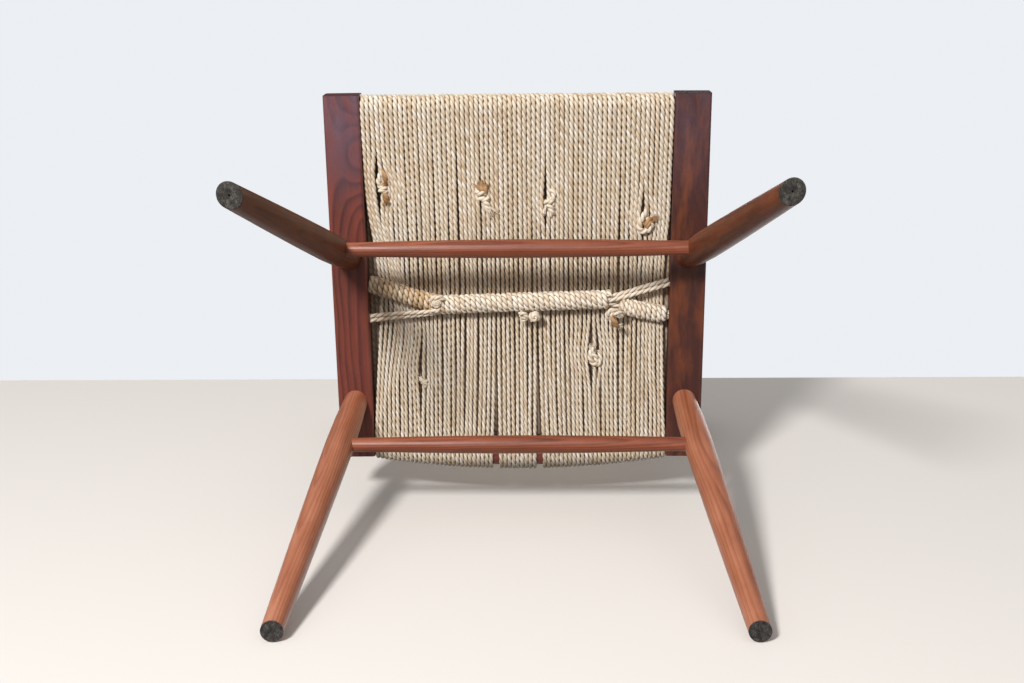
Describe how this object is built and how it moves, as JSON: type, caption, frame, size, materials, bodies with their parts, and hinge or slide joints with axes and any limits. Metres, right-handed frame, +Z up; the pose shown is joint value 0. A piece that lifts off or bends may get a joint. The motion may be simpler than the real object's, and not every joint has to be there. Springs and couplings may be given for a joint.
{
  "type": "rush seat chair",
  "caption": "Low-backed side chair: plank side rails on splayed round legs, a seat of twisted grass cord wound front to back and lashed across below, and a curved back rest on round posts.",
  "frame": {"origin": "on the ground, midway between the chair's left and right sides and midway between its front and rear ends", "axes": "+Z up, +X to the sitter's left, and the chair's front faces -Y"},
  "size_m": [0.5338, 0.519, 0.6775],
  "materials": {
    "frame_walnut": "sawn and planed walnut, oiled, reddish brown with dark figure",
    "turned_walnut": "turned walnut, oiled, lighter orange brown, satin",
    "wedge_wood": "pale hardwood, cut flush with the rail",
    "grass_cord": "twisted sea grass cord, pale straw, matt"
  },
  "bodies": {
    "root": {"side_rail_left": "frame_walnut", "side_rail_right": "frame_walnut", "front_rail": "frame_walnut", "rear_rail": "frame_walnut", "leg_front_left": "turned_walnut", "leg_front_right": "turned_walnut", "leg_rear_left": "turned_walnut", "leg_rear_right": "turned_walnut", "leg_wedges": "wedge_wood", "stretcher_front": "turned_walnut", "stretcher_rear": "turned_walnut", "back_post_left": "turned_walnut", "back_post_right": "turned_walnut", "crest_rail": "frame_walnut", "seat_cord_left_outer": "grass_cord", "seat_cord_left_inner": "grass_cord", "seat_cord_middle": "grass_cord", "seat_cord_right_inner": "grass_cord", "seat_cord_right_outer": "grass_cord", "cross_strand_wound": "grass_cord", "cross_strand_plain": "grass_cord", "lashing": "grass_cord"}
  },
  "joints": []
}
